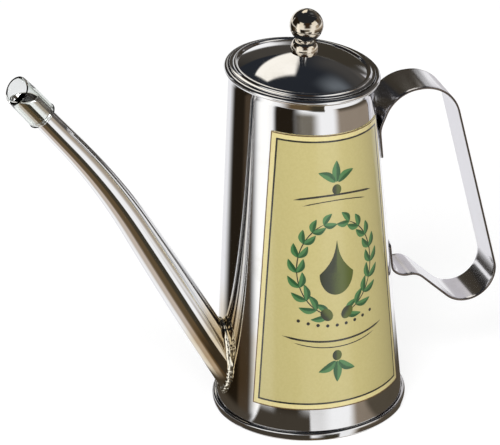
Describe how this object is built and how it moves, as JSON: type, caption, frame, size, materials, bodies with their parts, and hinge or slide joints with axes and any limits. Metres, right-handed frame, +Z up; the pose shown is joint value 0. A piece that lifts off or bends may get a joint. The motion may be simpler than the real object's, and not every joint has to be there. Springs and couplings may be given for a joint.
{
  "type": "oil cruet",
  "caption": "Conical polished steel oil cruet with a long tapered spout, strap handle, clear pour sleeve, printed label and lift-off domed lid with a ball knob.",
  "frame": {"origin": "centre of the face that the cruet stands on", "axes": "+Z up, +X towards the handle, -X towards the spout, -Y towards the label"},
  "size_m": [0.2172, 0.084, 0.1866],
  "materials": {
    "polished_steel": "stainless sheet, polished bright",
    "pan_steel": "stainless sheet, polished bright",
    "spout_steel": "stainless tube, polished bright",
    "weld_filler": "uneven weld bead with a straw tint from the heat",
    "clear_plastic": "soft clear tube, faintly green at its cut edges",
    "strap_steel": "stainless strip, polished, soft edges",
    "label_print": "printed film with a light sheen",
    "lid_steel": "stainless sheet, mirror polished",
    "skirt_steel": "plain stainless sheet",
    "collar_steel": "turned, mirror polished",
    "knob_steel": "turned, mirror polished",
    "washer_steel": "plain steel",
    "screw_steel": "plain steel"
  },
  "bodies": {
    "cruet_body": {"body_wall": "polished_steel", "base_pan": "pan_steel", "spout_tube": "spout_steel", "spout_weld": "weld_filler", "handle_strap": "strap_steel", "label_sticker": "label_print"},
    "lid": {"lid_cap": "lid_steel", "lid_skirt": "skirt_steel", "knob_collar": "collar_steel", "knob_ball": "knob_steel", "knob_washer": "washer_steel", "knob_screw": "screw_steel"},
    "pour_sleeve": {"pour_sleeve": "clear_plastic"}
  },
  "joints": [
    {"name": "lid_lift", "type": "slide", "parent": "cruet_body", "child": "lid", "axis": [0.1045, 0, 0.9945], "range_m": [0, 0.03]},
    {"name": "sleeve_pull", "type": "slide", "parent": "cruet_body", "child": "pour_sleeve", "axis": [-0.606, 0, 0.7955], "range_m": [0, 0.022]}
  ]
}
